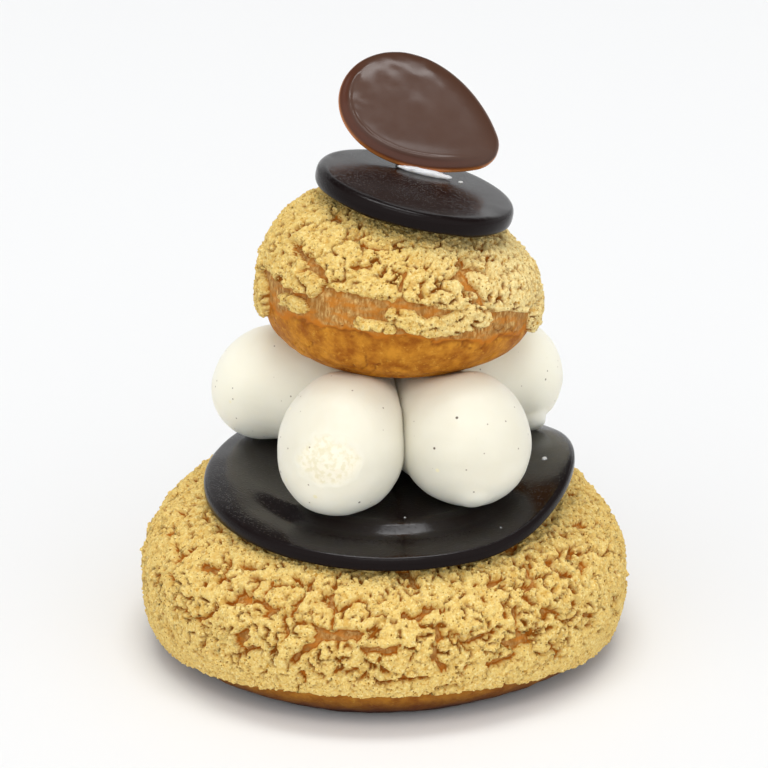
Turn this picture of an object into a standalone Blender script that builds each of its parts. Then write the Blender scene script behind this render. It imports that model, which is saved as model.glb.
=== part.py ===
"""A religieuse: a large and a small choux bun, each under a craquelin crust, stacked with two
chocolate discs, a ring of five piped cream drops and a chocolate petal on a dab of cream.

Metres, +Z up. The origin is on the table, under the middle of the large bun's outline.
-Y is the front: it shows the seam between two drops and the face of the petal.
"""

import math

import bmesh
import bpy
from mathutils import Matrix, Vector
from mathutils.bvhtree import BVHTree

MM = 0.001
GAP = 0.3 * MM  # left between pieces that touch

# A bun stands on its foot and is widest at its waist. Its crust's lower edge lies at a mean height and
# swings up at the front and back. Its top slopes by slant and leans over by shift. Its shoulder is a
# superellipse of a power.
LARGE = {
    "radius": 36.3 * MM,
    "height": 26.0 * MM,
    "waist": 10.0 * MM,
    "foot": 28.2 * MM,
    "crust": 1.8 * MM,
    "edge": 4.5 * MM,
    "swing": 1.2 * MM,
    "slant": Vector((0.0, 0.06)),
    "shift": 0.0,
    "power": 3.0,
}
SMALL = {
    "radius": 20.8 * MM,
    "height": 23.0 * MM,
    "waist": 10.0 * MM,
    "foot": 13.0 * MM,
    "crust": 1.5 * MM,
    "edge": 7.4 * MM,
    "swing": 1.1 * MM,
    "slant": Vector((-0.195, 0.0)),
    "shift": 1.9 * MM,
    "power": 2.6,
}
SMALL_PLACE = Vector((1.7 * MM, 3.0 * MM, 45.4 * MM))
SMALL_LEAN = math.radians(2.0)  # of the whole small bun, to the right

DOME_STEPS = 7
TUCK_STEPS = 2
BARE_INSET = 0.4  # of the crust's thickness, where a bun shows below its crust
LOBES = ((2, 0.020, 0.0), (3, 0.008, 0.6), (5, 0.005, 2.0))  # waves, share of the radius, phase

# Large disc, draped over the large bun, with one side curled up.
DISC_RADIUS = 28.2 * MM
DISC_THICKNESS = 2.2 * MM
DISC_CENTRE = Vector((0.9 * MM, -0.4 * MM, 0.0))
DISC_SAG = 1.9 * MM
DISC_CURL = 4.4 * MM
CURL_AZIMUTH = math.radians(-4.0)
CURL_SPREAD = math.radians(58.0)

# Small disc, flat on the small bun's top.
CAP_RADIUS = 15.0 * MM
CAP_THICKNESS = 2.9 * MM

# Cream drops round a centre of their own. Each is a bulb with a tail that runs in under the small bun:
# azimuth in degrees, reach of the bulb from the centre, its height, its radius, its half length.
RING_CENTRE = Vector((0.8 * MM, 1.5 * MM, 0.0))
DROPS = {
    "cream_front_left": (245.4, 15.6 * MM, 36.5 * MM, 9.5 * MM, 11.4 * MM),
    "cream_front_right": (311.0, 16.8 * MM, 36.7 * MM, 9.6 * MM, 10.6 * MM),
    "cream_rear_right": (34.0, 21.5 * MM, 38.0 * MM, 8.5 * MM, 10.6 * MM),
    "cream_rear": (94.0, 17.2 * MM, 37.6 * MM, 8.8 * MM, 10.6 * MM),
    "cream_rear_left": (153.0, 19.9 * MM, 37.2 * MM, 8.5 * MM, 10.6 * MM),
}
DROP_SLOPE = math.radians(40.0)  # how steeply the bulb's axis climbs towards the middle
TAIL_RADIUS = 8.2 * MM
TAIL_HEIGHT = 37.0 * MM  # of its inner end
DROP_SPAN = 30.0 * MM  # more than any part of a drop lies from its bulb's middle
HALVINGS = 14  # of the span, to find where a drop ends

# Petal: a teardrop plate with rounded edges, bowed back from its middle and leaning back on the dab.
PETAL_LENGTH = 26.7 * MM
PETAL_WIDTH = 21.8 * MM
PETAL_THICKNESS = 1.8 * MM
PETAL_BOW = 0.8 * MM
PETAL_POINT = 0.55  # 0 makes an ellipse, 1 a sharp point
PETAL_MIDDLE = Vector((6.3 * MM, 13.4 * MM, 79.3 * MM))
PETAL_TURN = math.radians(-36.0)  # of its long axis, the point going down to the right
PETAL_LEAN = math.radians(45.0)  # of its plate, back from upright
PETAL_SWING = math.radians(10.0)  # of its face, towards the right

DAB_RADIUS = 3.4 * MM
DAB_HEIGHT = 5.8 * MM
DAB_OFFSET = Vector((0.6 * MM, 8.2 * MM))  # from the middle of the small disc


def clear_scene():
    for obj in list(bpy.data.objects):
        bpy.data.objects.remove(obj)


def material(name, colour, roughness):
    made = bpy.data.materials.new(name)
    made.use_nodes = True
    shader = made.node_tree.nodes["Principled BSDF"]
    shader.inputs["Base Color"].default_value = (*colour, 1.0)
    shader.inputs["Roughness"].default_value = roughness
    return made


def finished(name, bm, finish, parent, place):
    """The node made from bm: faces pointing out, shaded smooth, at its place under its parent."""
    bmesh.ops.recalc_face_normals(bm, faces=bm.faces)
    if bm.calc_volume(signed=True) < 0:
        bmesh.ops.reverse_faces(bm, faces=bm.faces)
    mesh = bpy.data.meshes.new(name)
    bm.to_mesh(mesh)
    bm.free()
    mesh.shade_smooth()
    mesh.materials.append(finish)
    obj = bpy.data.objects.new(name, mesh)
    bpy.context.scene.collection.objects.link(obj)
    obj.parent = parent
    obj.matrix_basis = place
    return obj


def empty(name, parent, place):
    obj = bpy.data.objects.new(name, None)
    bpy.context.scene.collection.objects.link(obj)
    obj.parent = parent
    obj.matrix_basis = place
    return obj


def turned(profile, segments):
    """A bmesh spun about Z from a profile of (radius, height) that starts and ends on the axis."""
    bm = bmesh.new()
    points = [bm.verts.new((radius, 0.0, height)) for radius, height in profile]
    edges = [bm.edges.new(pair) for pair in zip(points, points[1:])]
    bmesh.ops.spin(bm, geom=points + edges, axis=(0, 0, 1), angle=math.tau, steps=segments, use_merge=True)
    bmesh.ops.remove_doubles(bm, verts=bm.verts, dist=0.01 * MM)
    return bm


# The two buns


def tuck(bun, low, high, steps):
    """The bun's outline below its waist, where it tucks in to its foot: (radius, height), low to high."""
    angles = [math.asin(1 - height / bun["waist"]) for height in (low, high)]
    points = []
    for i in range(steps + 1):
        angle = angles[0] + (angles[1] - angles[0]) * i / steps
        across = bun["foot"] + (bun["radius"] - bun["foot"]) * math.cos(angle)
        points.append((across, bun["waist"] * (1 - math.sin(angle))))
    return points


def crusted(bun, inset):
    """The outline from the crust's lower edge up to the top of the dome, drawn in by inset."""
    lower = tuck(bun, bun["edge"], bun["waist"], TUCK_STEPS)[:-1]
    points = [(across - inset, height) for across, height in lower]
    rise = bun["height"] - inset - bun["waist"]
    bend = 2 / bun["power"]
    for i in range(DOME_STEPS + 1):
        angle = 0.5 * math.pi * i / DOME_STEPS
        across = math.cos(angle) ** bend if i < DOME_STEPS else 0.0
        points.append(((bun["radius"] - inset) * across, bun["waist"] + rise * math.sin(angle) ** bend))
    return points


def shape_by_hand(bun, bm):
    """Makes a turned bun uneven: wider than deep, softly lobed, its crust's edge wavy and its top askew."""
    for vert in bm.verts:
        azimuth = math.atan2(vert.co.y, vert.co.x)
        above = (bun["waist"] - vert.co.z) / (bun["waist"] - bun["edge"])
        below = vert.co.z / bun["edge"]
        vert.co.z -= bun["swing"] * math.cos(2 * azimuth) * max(0.0, min(above, below, 1.0))
        vert.co.z *= 1 + bun["slant"].dot(vert.co.xy) / bun["height"]
        lobes = sum(size * math.cos(waves * azimuth + phase) for waves, size, phase in LOBES)
        grow = 1 + lobes * min(1.0, math.hypot(vert.co.x, vert.co.y) / bun["radius"])
        vert.co.x = vert.co.x * grow + bun["shift"] * (vert.co.z / bun["height"]) ** 2
        vert.co.y *= grow


def choux(name, bun, segments, finish, parent):
    """The bun itself. It fills the crust, and below the crust it swells to almost the crust's face."""
    lip = bun["edge"] - GAP
    bare = [(across - BARE_INSET * bun["crust"], height) for across, height in tuck(bun, 0.0, lip, 3)]
    covered = crusted(bun, bun["crust"] + GAP)
    bm = turned([(0.0, 0.0)] + bare + [(covered[0][0], lip)] + covered, segments)
    shape_by_hand(bun, bm)
    return finished(name, bm, finish, parent, Matrix())


def craquelin(name, bun, segments, finish, parent):
    """The crust: a shell over the choux, open below."""
    bm = turned(crusted(bun, bun["crust"])[::-1] + crusted(bun, 0.0), segments)
    shape_by_hand(bun, bm)
    return finished(name, bm, finish, parent, Matrix())


# The two discs


def disc_under(x, y):
    """Height of the large disc's underside: it lies on the bun's top, sags and curls up at one side."""
    across = math.hypot(x - DISC_CENTRE.x, y - DISC_CENTRE.y) / DISC_RADIUS
    azimuth = math.atan2(y - DISC_CENTRE.y, x - DISC_CENTRE.x)
    off = abs((azimuth - CURL_AZIMUTH + math.pi) % math.tau - math.pi) / CURL_SPREAD
    share = 0.5 + 0.5 * math.cos(math.pi * min(1.0, off))
    flat = LARGE["height"] + GAP + LARGE["slant"].dot(Vector((x, y)))
    return flat + (DISC_CURL * share - DISC_SAG) * across**3


def round_edged_plate(radius, thickness, rings, segments):
    """A flat round plate on z = 0, with its upper edge rounded over and its lower one just broken."""
    top_round = 0.4 * thickness
    low_round = 0.15 * thickness
    inner = [(radius - top_round) * i / rings for i in range(1, rings + 1)]
    profile = [(0.0, 0.0)] + [(across, 0.0) for across in inner[:-1]]
    profile += [(radius - low_round, 0.0), (radius, low_round)]
    for i in range(4):
        angle = 0.5 * math.pi * i / 3
        profile.append(
            (radius - top_round * (1 - math.cos(angle)), thickness - top_round * (1 - math.sin(angle)))
        )
    profile += [(across, thickness) for across in inner[-2::-1]] + [(0.0, thickness)]
    return turned(profile, segments)


def large_disc(finish, parent):
    bm = round_edged_plate(DISC_RADIUS, DISC_THICKNESS, 4, 56)
    for vert in bm.verts:
        vert.co.z += disc_under(vert.co.x + DISC_CENTRE.x, vert.co.y + DISC_CENTRE.y)
    return finished("large_disc", bm, finish, parent, Matrix.Translation(DISC_CENTRE))


def bun_frame():
    """The small bun's foot."""
    return Matrix.Translation(SMALL_PLACE) @ Matrix.Rotation(SMALL_LEAN, 4, "Y")


def cap_frame():
    """The small disc's underside, in the small bun's frame."""
    slope = Matrix.Rotation(-math.atan(SMALL["slant"].x), 4, "Y")
    return Matrix.Translation((SMALL["shift"], 0, SMALL["height"] + GAP)) @ slope


def small_disc(finish, parent):
    bm = round_edged_plate(CAP_RADIUS, CAP_THICKNESS, 2, 44)
    return finished("small_disc", bm, finish, parent, cap_frame())


# The cream


class Drop:
    """A soft drop, held in by its neighbours, by the disc below it and by the small bun above it."""

    def __init__(self, spec, walls, above):
        azimuth, reach, height, self.radius, self.half_length = spec
        self.outward = Vector((math.cos(math.radians(azimuth)), math.sin(math.radians(azimuth)), 0))
        self.side = Vector((-self.outward.y, self.outward.x, 0))
        self.walls = walls
        self.above = above
        self.middle = RING_CENTRE + self.outward * reach + Vector((0, 0, height))
        self.tail = RING_CENTRE + Vector((0, 0, TAIL_HEIGHT)) - self.middle
        self.axis = Vector((0, 0, math.sin(DROP_SLOPE))) - self.outward * math.cos(DROP_SLOPE)

    def in_cream(self, co):
        """Whether the drop would reach co if nothing held it in: an ellipsoid bulb with a round tail."""
        from_middle = co - self.middle
        along = from_middle.dot(self.axis)
        across = (from_middle - along * self.axis).length
        if math.hypot(along / self.half_length, across / self.radius) < 1:
            return True
        share = max(0.0, min(1.0, from_middle.dot(self.tail) / self.tail.length_squared))
        return (from_middle - share * self.tail).length < TAIL_RADIUS

    def free(self, co):
        """Whether co keeps its gaps from the neighbours, the large disc and the small bun."""
        from_ring = co - RING_CENTRE
        aside = from_ring.dot(self.side)
        wall = self.walls[0] if aside > 0 else self.walls[1]
        if abs(aside) * math.cos(wall) > from_ring.dot(self.outward) * math.sin(wall) - 0.5 * GAP:
            return False
        if co.z < disc_under(co.x, co.y) + DISC_THICKNESS + GAP:
            return False
        return self.above.find_nearest(co)[3] > GAP

    def surface(self, direction):
        """How far the drop reaches from its bulb's middle in a direction."""
        inside = 0.0
        outside = self.above.ray_cast(self.middle, direction)[3] or DROP_SPAN
        for _ in range(HALVINGS):
            halfway = 0.5 * (inside + outside)
            co = self.middle + halfway * direction
            if self.in_cream(co) and self.free(co):
                inside = halfway
            else:
                outside = halfway
        return self.middle + inside * direction


def cream_drop(name, drop, finish, parent):
    bm = bmesh.new()
    bmesh.ops.create_uvsphere(bm, u_segments=20, v_segments=12, radius=1.0)
    turn = drop.tail.to_track_quat("Z", "Y").to_matrix()
    for vert in bm.verts:
        vert.co = drop.surface(turn @ vert.co.normalized()) - drop.middle
    return finished(name, bm, finish, parent, Matrix.Translation(drop.middle))


def cream_ring(small_bun, finish, parent):
    """The five drops. Upright walls, half way round to each neighbour, keep them apart."""
    bm = bmesh.new()
    for obj in small_bun:
        bm.from_mesh(obj.data)
    bmesh.ops.transform(bm, matrix=bun_frame(), verts=bm.verts)
    above = BVHTree.FromBMesh(bm)
    bm.free()
    azimuths = [math.radians(spec[0]) for spec in DROPS.values()]
    for i, (name, spec) in enumerate(DROPS.items()):
        after = (azimuths[(i + 1) % len(azimuths)] - azimuths[i]) % math.tau
        before = (azimuths[i] - azimuths[i - 1]) % math.tau
        cream_drop(name, Drop(spec, (0.5 * after, 0.5 * before), above), finish, parent)


# The petal and its dab


def petal_frame():
    """Local X runs to the petal's point, Y across it and Z out of its face."""
    face = Matrix.Rotation(PETAL_SWING, 4, "Z") @ Matrix.Rotation(0.5 * math.pi - PETAL_LEAN, 4, "X")
    return Matrix.Translation(PETAL_MIDDLE) @ face @ Matrix.Rotation(PETAL_TURN, 4, "Z")


def petal_outline(angle, share):
    """A point of the teardrop, at an angle from its point and a share of the way out."""
    along = 0.5 * PETAL_LENGTH * math.cos(angle)
    across = 0.5 * PETAL_WIDTH * math.sin(angle) * math.sin(0.5 * angle) ** PETAL_POINT
    return Vector((along * share, across * share, 0))


def petal(finish, parent):
    bm = round_edged_plate(1.0, 1.0, 4, 40)
    for vert in bm.verts:
        share = math.hypot(vert.co.x, vert.co.y)
        angle = math.atan2(vert.co.y, vert.co.x) % math.tau
        side = 1 if angle <= math.pi else -1
        flat = petal_outline(min(angle, math.tau - angle), share)
        flat.y *= side
        flat.z = PETAL_THICKNESS * (vert.co.z - 1) - PETAL_BOW * share**2
        vert.co = flat
    bmesh.ops.remove_doubles(bm, verts=bm.verts, dist=0.02 * MM)
    return finished("petal", bm, finish, parent, petal_frame())


def cream_dab(finish, parent):
    """A round dab on the small disc, flattened under the petal."""
    bm = bmesh.new()
    bmesh.ops.create_uvsphere(bm, u_segments=18, v_segments=10, radius=DAB_RADIUS)
    seat = cap_frame() @ Matrix.Translation((*DAB_OFFSET, CAP_THICKNESS + GAP))
    petal_from_seat = petal_frame().inverted() @ bun_frame() @ seat
    for vert in bm.verts:
        vert.co.z = max(vert.co.z * DAB_HEIGHT / DAB_RADIUS, 0.0)
        under_petal = petal_from_seat @ vert.co
        under_petal.z = min(under_petal.z, -PETAL_THICKNESS - PETAL_BOW - GAP)
        vert.co = petal_from_seat.inverted() @ under_petal
    bmesh.ops.remove_doubles(bm, verts=bm.verts, dist=0.01 * MM)
    return finished("cream_dab", bm, finish, parent, seat)


def middle_of_outline(obj):
    """The middle of a piece's outline as seen from above, on the ground."""
    across = [vert.co.x for vert in obj.data.vertices]
    deep = [vert.co.y for vert in obj.data.vertices]
    return Vector((0.5 * (min(across) + max(across)), 0.5 * (min(deep) + max(deep)), 0.0))


def main():
    clear_scene()
    baked = material("baked_choux", (0.42, 0.19, 0.06), 0.6)
    crumb = material("craquelin", (0.66, 0.45, 0.18), 0.85)
    dark = material("dark_chocolate", (0.025, 0.016, 0.014), 0.25)
    milk = material("milk_chocolate", (0.10, 0.055, 0.04), 0.3)
    cream = material("vanilla_cream", (0.90, 0.86, 0.74), 0.5)

    whole = empty("religieuse", None, Matrix())
    choux("large_choux", LARGE, 40, baked, whole)
    widest = craquelin("large_craquelin", LARGE, 40, crumb, whole)
    whole.location = -middle_of_outline(widest)
    large_disc(dark, whole)

    small = empty("small_bun", whole, bun_frame())
    small_bun = [
        choux("small_choux", SMALL, 30, baked, small),
        craquelin("small_craquelin", SMALL, 30, crumb, small),
    ]
    small_disc(dark, small)
    cream_dab(cream, small)

    cream_ring(small_bun, cream, whole)
    petal(milk, whole)


main()
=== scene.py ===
# %% [markdown]
# # A religieuse, piece by piece
# A religieuse is two choux buns, a small one sitting on a large one. Both wear a craquelin: a disc of
# sugary biscuit dough that melts over the bun in the oven and cracks as the bun swells. Two discs of dark
# chocolate, a ring of piped vanilla cream and a chocolate petal finish it.
# The measured model is loaded first. Every piece made below goes where that model says.

# %% Load the measured model
import itertools
import math
import random

import bmesh
import bpy
import numpy as np
from mathutils import Matrix, Vector


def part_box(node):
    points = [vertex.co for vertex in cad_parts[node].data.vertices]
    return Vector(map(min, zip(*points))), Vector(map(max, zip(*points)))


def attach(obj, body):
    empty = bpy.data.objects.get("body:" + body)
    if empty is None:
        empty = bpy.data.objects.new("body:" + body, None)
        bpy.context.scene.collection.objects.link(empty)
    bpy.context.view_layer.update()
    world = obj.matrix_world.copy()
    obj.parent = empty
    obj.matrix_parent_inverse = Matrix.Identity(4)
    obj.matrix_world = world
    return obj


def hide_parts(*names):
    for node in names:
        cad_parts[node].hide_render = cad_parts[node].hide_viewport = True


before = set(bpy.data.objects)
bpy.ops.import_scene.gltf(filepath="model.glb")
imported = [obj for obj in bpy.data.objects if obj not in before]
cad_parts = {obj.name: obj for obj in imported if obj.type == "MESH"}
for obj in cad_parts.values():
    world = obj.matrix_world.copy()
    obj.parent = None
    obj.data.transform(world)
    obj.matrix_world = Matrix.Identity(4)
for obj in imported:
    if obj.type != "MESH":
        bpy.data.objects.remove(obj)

MM = 0.001
scene = bpy.context.scene
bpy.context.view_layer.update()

# %% [markdown]
# ## Light, camera and table
# Pastry shows best in soft, even light: a pale table, a pale room, a wide lamp in front of the pastry and a
# second lamp overhead. The lamp overhead draws the soft bright band on the front of the large chocolate disc.

# %% The camera
TARGET = Vector((0, 0, 40.8 * MM))
DISTANCE = 0.42
ELEVATION = math.radians(21)
LENS_MM, SENSOR_MM = 131, 36

camera = bpy.data.objects.new("camera", bpy.data.cameras.new("camera"))
camera.data.lens = LENS_MM
camera.data.sensor_width = SENSOR_MM
camera.location = TARGET + DISTANCE * Vector((0, -math.cos(ELEVATION), math.sin(ELEVATION)))
camera.rotation_euler = (0.5 * math.pi - ELEVATION, 0, 0)
scene.collection.objects.link(camera)
scene.camera = camera
print("camera at", [round(v, 3) for v in camera.location])


# %% The lamps
def lamp(name, width, depth, power, place):
    """A flat lamp of a width and depth in metres and a power in watts, which faces the pastry."""
    data = bpy.data.lights.new(name, "AREA")
    data.shape = "RECTANGLE"
    data.size = width
    data.size_y = depth
    data.energy = power
    made = bpy.data.objects.new(name, data)
    made.location = place
    made.rotation_euler = (TARGET - Vector(place)).to_track_quat("-Z", "Y").to_euler()
    scene.collection.objects.link(made)


lamp("lamp_front", width=1.6, depth=0.8, power=13.2, place=(0.0, -1.6, 2.5))
lamp("lamp_overhead", width=1.3, depth=0.5, power=13.2, place=(0.0, 0.08, 2.0))

# %% The room
# It glows in front of the pastry and low down all round, and is dim behind and above. The camera itself sees
# a plain backdrop.
ROOM_COLOUR = (0.98, 0.99, 1.0, 1)
BACKDROP_COLOUR = (0.90, 0.905, 0.91, 1)
world = bpy.data.worlds.new("pale_room")
scene.world = world
world.use_nodes = True
room = world.node_tree.nodes
links = world.node_tree.links
facing = room.new("ShaderNodeSeparateXYZ")
links.new(room.new("ShaderNodeTexCoord").outputs["Generated"], facing.inputs[0])


def glow(axis, interpolation, **ends):
    """How strongly the room glows, from where on an axis a direction points."""
    made = room.new("ShaderNodeMapRange")
    made.interpolation_type = interpolation
    for end, value in ends.items():
        made.inputs[end.replace("_", " ").title()].default_value = value
    links.new(facing.outputs[axis], made.inputs["Value"])
    return made.outputs["Result"]


in_front = glow("Y", "SMOOTHSTEP", from_min=0.5, from_max=-0.5, to_min=0.14, to_max=1.2)
low_down = glow("Z", "LINEAR", from_min=0.65, from_max=0.38, to_min=0.0, to_max=0.9)
strongest = room.new("ShaderNodeMath")
strongest.operation = "MAXIMUM"
links.new(in_front, strongest.inputs[0])
links.new(low_down, strongest.inputs[1])
links.new(strongest.outputs[0], room["Background"].inputs["Strength"])
room["Background"].inputs["Color"].default_value = ROOM_COLOUR
backdrop = room.new("ShaderNodeBackground")
backdrop.inputs["Color"].default_value = BACKDROP_COLOUR
seen_straight = room.new("ShaderNodeLightPath").outputs["Is Camera Ray"]
either = room.new("ShaderNodeMixShader")
links.new(seen_straight, either.inputs[0])
links.new(room["Background"].outputs[0], either.inputs[1])
links.new(backdrop.outputs[0], either.inputs[2])
links.new(either.outputs[0], room["World Output"].inputs[0])
scene.view_settings.view_transform = "Standard"
print("the room's light has", len(room), "nodes")

# %% The table
TABLE_HALF = 3
PAPER_COLOUR = (0.85, 0.85, 0.85, 1)
bm = bmesh.new()
bmesh.ops.create_grid(bm, x_segments=2, y_segments=2, size=TABLE_HALF)
mesh = bpy.data.meshes.new("table")
bm.to_mesh(mesh)
bm.free()
table = bpy.data.objects.new("table", mesh)
scene.collection.objects.link(table)
paper = bpy.data.materials.new("table_paper")
paper.use_nodes = True
paper_shader = paper.node_tree.nodes["Principled BSDF"]
paper_shader.inputs["Base Color"].default_value = PAPER_COLOUR
paper_shader.inputs["Roughness"].default_value = 0.8
table.data.materials.append(paper)
print("table", 2 * TABLE_HALF, "m across")


# %% [markdown]
# ## A small kit for materials
# Each material here is built the same way: patterns from 0 to 1 decide how much of each colour shows, and the
# same patterns raise or lower the surface a little. They fill space in real metres, rather than being wrapped
# round a piece, so they have no seam and a grain keeps its size on every piece.

MIX_SHARE, MIX_A, MIX_B, MIX_COLOUR = 0, 6, 7, 2
DOT_CORE, PICK_FADE = 0.6, 0.02
PEBBLE_VALLEY, PEBBLE_TOP, PEBBLE_WANDER = 0.65, 0.1, 0.5


class Finish:
    """A material with its nodes, and the few ways of mixing them that this pastry needs."""

    def __init__(self, name, roughness):
        self.material = bpy.data.materials.new(name)
        self.material.use_nodes = True
        self.tree = self.material.node_tree
        self.shader = self.tree.nodes["Principled BSDF"]
        self.shader.inputs["Roughness"].default_value = roughness
        self.place = self.node("ShaderNodeTexCoord").outputs["Object"]

    def node(self, kind, links=(), **settings):
        """A new node. links gives each socket a value or another node's socket."""
        made = self.tree.nodes.new(kind)
        for name, value in settings.items():
            setattr(made, name, value)
        for socket, value in dict(links).items():
            self.put(made.inputs[socket], value)
        return made

    def put(self, socket, value):
        """Links a socket to another, or sets its value."""
        if isinstance(value, bpy.types.NodeSocket):
            self.tree.links.new(value, socket)
        else:
            socket.default_value = value

    def grain(self, size, detail=2.0, rough=0.5, squeeze=(1, 1, 1)):
        """Soft noise with lumps of a size in metres, from 0 to 1."""
        links = {0: self.place, 1: squeeze}
        place = self.node("ShaderNodeVectorMath", links, operation="MULTIPLY").outputs[0]
        links = {"Vector": place, "Scale": 1 / size, "Detail": detail, "Roughness": rough}
        return self.node("ShaderNodeTexNoise", links).outputs["Fac"]

    def dots(self, spacing, radius, share):
        """1 inside scattered round dots and 0 outside. Only a share of the dots is kept."""
        cells = self.node("ShaderNodeTexVoronoi", {"Vector": self.place, "Scale": 1 / spacing})
        edge = radius / spacing
        dot = self.ramp(cells.outputs["Distance"], edge, DOT_CORE * edge)
        pick = self.node("ShaderNodeSeparateColor", {"Color": cells.outputs["Color"]}).outputs[0]
        return self.times(dot, self.ramp(pick, 1 - share, 1 - share + PICK_FADE))

    def pebbles(self, size):
        """Uneven rounded grains of a size: 1 on the top of each and 0 in the valleys between them."""
        links = {"Vector": self.place, "Scale": PEBBLE_WANDER / size, "Detail": 2.0}
        noise = self.node("ShaderNodeTexNoise", links)
        links = {0: noise.outputs["Color"], 1: (size, size, size), 2: self.place}
        place = self.node("ShaderNodeVectorMath", links, operation="MULTIPLY_ADD").outputs[0]
        cells = self.node("ShaderNodeTexVoronoi", {"Vector": place, "Scale": 1 / size})
        return self.ramp(cells.outputs["Distance"], PEBBLE_VALLEY, PEBBLE_TOP)

    def seen(self, name):
        """A value stored on the mesh."""
        return self.node("ShaderNodeAttribute", attribute_name=name).outputs["Fac"]

    def along(self, axis):
        """How far a point lies along an axis, in metres."""
        return self.node("ShaderNodeSeparateXYZ", {0: self.place}).outputs[axis]

    def ramp(self, value, low, high, to_low=0.0, to_high=1.0):
        """Turns low to high into to_low to to_high, and holds the ends."""
        links = {"Value": value, "From Min": low, "From Max": high, "To Min": to_low, "To Max": to_high}
        return self.node("ShaderNodeMapRange", links).outputs["Result"]

    def times(self, a, b):
        """Two patterns multiplied."""
        return self.node("ShaderNodeMath", {0: a, 1: b}, operation="MULTIPLY").outputs[0]

    def mix(self, share, a, b):
        """Colour a where share is 0 and colour b where it is 1."""
        made = self.node("ShaderNodeMix", data_type="RGBA")
        self.put(made.inputs[MIX_SHARE], share)
        for socket, value in ((MIX_A, a), (MIX_B, b)):
            self.put(made.inputs[socket], value if isinstance(value, bpy.types.NodeSocket) else (*value, 1))
        return made.outputs[MIX_COLOUR]

    def colour(self, value):
        """Gives the surface its colour."""
        self.put(self.shader.inputs["Base Color"], value)

    def bump(self, height, depth):
        """Shades the surface as if height, from 0 to 1, stood up by a depth in metres."""
        before = self.shader.inputs["Normal"].links
        links = {"Height": height, "Distance": depth, "Strength": 1.0}
        if before:
            links["Normal"] = before[0].from_socket
        made = self.node("ShaderNodeBump", links)
        self.tree.links.new(made.outputs["Normal"], self.shader.inputs["Normal"])


# %% [markdown]
# ## The form of a bun
# A choux bun is round, flat below and a little uneven. It could be sculpted, but a turned outline, pushed out
# of round, is easier to keep true. One set of rules gives both buns, and the same rules gave the measured
# model, only with fewer steps round and up.

# %% Sizes of the two buns
LARGE = {
    "radius": 36.3, "height": 26.0, "waist": 10.0, "foot": 28.2, "edge": 4.5, "swing": 1.2,
    "slant": Vector((0.0, 0.06)), "shift": 0.0, "power": 3.0,
}
SMALL = {
    "radius": 20.8, "height": 23.0, "waist": 10.0, "foot": 13.0, "edge": 7.4, "swing": 1.1,
    "slant": Vector((-0.195, 0.0)), "shift": 1.9, "power": 2.6,
}
LOBES = ((2, 0.020, 0.0), (3, 0.008, 0.6), (5, 0.005, 2.0))
SMALL_LEAN = Matrix.Rotation(math.radians(2.0), 4, "Y")
FOOT_STEPS, SIDE_STEPS = 200, 800
QUICK = 1.0
print("the small bun is", SMALL["radius"] / LARGE["radius"], "of the large one")


# %% The outline of a bun
def outline(bun, inset, low, step, top_radius):
    """Points of (radius, height) in mm, a step apart along the bun's side, from low up to top_radius."""
    side = []
    for i in range(FOOT_STEPS):
        angle = math.asin(1 - low / bun["waist"]) * (1 - i / FOOT_STEPS)
        across = bun["foot"] + (bun["radius"] - bun["foot"]) * math.cos(angle)
        side.append((across - inset, bun["waist"] * (1 - math.sin(angle))))
    bend = 2 / bun["power"]
    for i in range(SIDE_STEPS + 1):
        angle = 0.5 * math.pi * i / SIDE_STEPS
        across = (bun["radius"] - inset) * math.cos(angle) ** bend
        up = (bun["height"] - inset - bun["waist"]) * math.sin(angle) ** bend
        side.append((across, bun["waist"] + up))
    points = [side[0]]
    for point in side:
        if math.dist(point, points[-1]) >= step and point[0] > top_radius:
            points.append(point)
    return points


def by_hand(bun, co):
    """Moves a point of the turned bun to where the uneven bun has it. In mm."""
    azimuth = math.atan2(co.y, co.x)
    above = (bun["waist"] - co.z) / (bun["waist"] - bun["edge"])
    below = co.z / bun["edge"]
    z = co.z - bun["swing"] * math.cos(2 * azimuth) * max(0.0, min(above, below, 1.0))
    z *= 1 + bun["slant"].dot(co.xy) / bun["height"]
    lobes = sum(size * math.cos(waves * azimuth + phase) for waves, size, phase in LOBES)
    grow = 1 + lobes * min(1.0, math.hypot(co.x, co.y) / bun["radius"])
    return Vector((co.x * grow + bun["shift"] * (z / bun["height"]) ** 2, co.y * grow, z))


# %% Where each bun stands
PLACING_STEP = 0.5
PLACING_DEGREES = 3


def stand(bun, node, lean):
    """The matrix that takes a bun from its own mm to the measured model's metres."""
    found = []
    for radius, height in outline(bun, 0, bun["edge"], PLACING_STEP, 0):
        for degrees in range(0, 360, PLACING_DEGREES):
            azimuth = math.radians(degrees)
            co = Vector((radius * math.cos(azimuth), radius * math.sin(azimuth), height))
            found.append(lean @ (by_hand(bun, co) * MM))
    low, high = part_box(node)
    middle = [0.5 * (min(co[i] for co in found) + max(co[i] for co in found)) for i in (0, 1)]
    top = max(co.z for co in found)
    shift = Vector((0.5 * (low.x + high.x) - middle[0], 0.5 * (low.y + high.y) - middle[1], high.z - top))
    return Matrix.Translation(shift) @ lean @ Matrix.Scale(MM, 4)


LARGE_PLACE = stand(LARGE, "large_craquelin", Matrix())
SMALL_PLACE = stand(SMALL, "small_craquelin", SMALL_LEAN)
print("large bun stands at", [round(v / MM, 2) for v in LARGE_PLACE.translation], "mm")
print("small bun stands at", [round(v / MM, 2) for v in SMALL_PLACE.translation], "mm")


# %% Finishing a mesh
WELD = 0.001


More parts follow.
